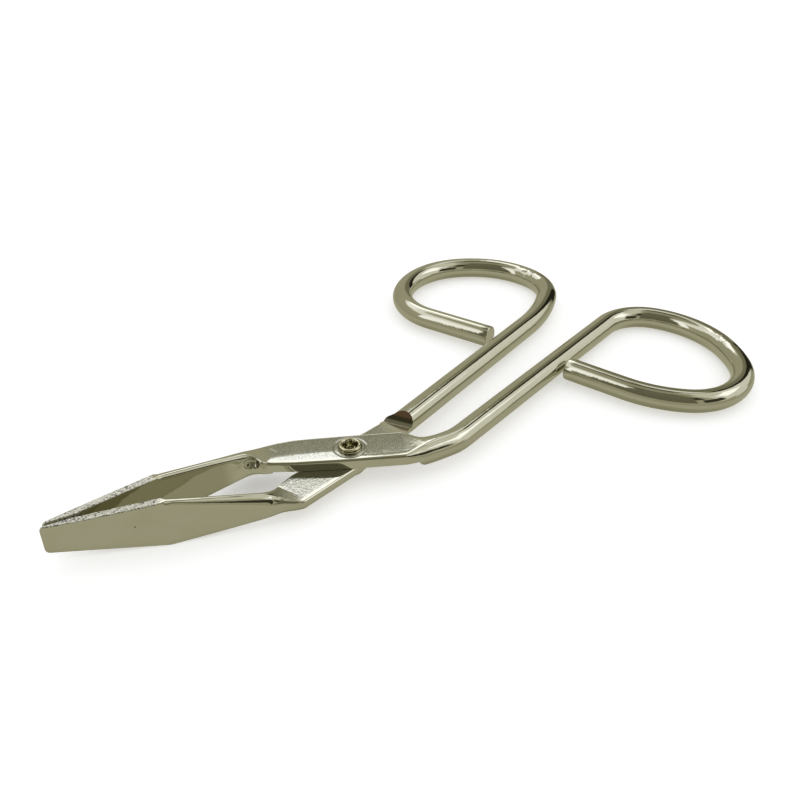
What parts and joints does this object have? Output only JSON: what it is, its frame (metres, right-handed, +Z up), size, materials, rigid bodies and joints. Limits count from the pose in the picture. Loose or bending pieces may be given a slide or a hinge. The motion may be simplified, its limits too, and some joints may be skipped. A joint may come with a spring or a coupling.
{
  "type": "scissor-handled gripping snips",
  "caption": "Scissor-handled gripping snips of bent round steel rod: D-shaped finger loops, half-lap riveted pivot and upright blunt jaws that meet at flat tip pads",
  "frame": {"origin": "on the rivet axis, at the flat underside of the rivet head", "axes": "+X runs from the pivot along the handles towards the finger loops, +Y towards the loop of the lower arm, +Z up along the rivet axis, with the tool lying flat and closed"},
  "size_m": [0.0896, 0.0582, 0.0063],
  "materials": {
    "arm_nickel": "nickel plate over steel rod, polished on the rod, satin on the pressed flats, rough ground on the jaw edges",
    "rivet_nickel": "nickel plated rivet, rolled rim, dull inside the open hollow"
  },
  "bodies": {
    "lower": {"lower_arm": "arm_nickel", "pivot_rivet": "rivet_nickel"},
    "upper": {"upper_arm": "arm_nickel"}
  },
  "joints": [
    {"name": "pivot", "type": "hinge", "parent": "lower", "child": "upper", "pos_m": [0, 0, 0], "axis": [0, 0, -1], "range_deg": [0, 106]}
  ]
}
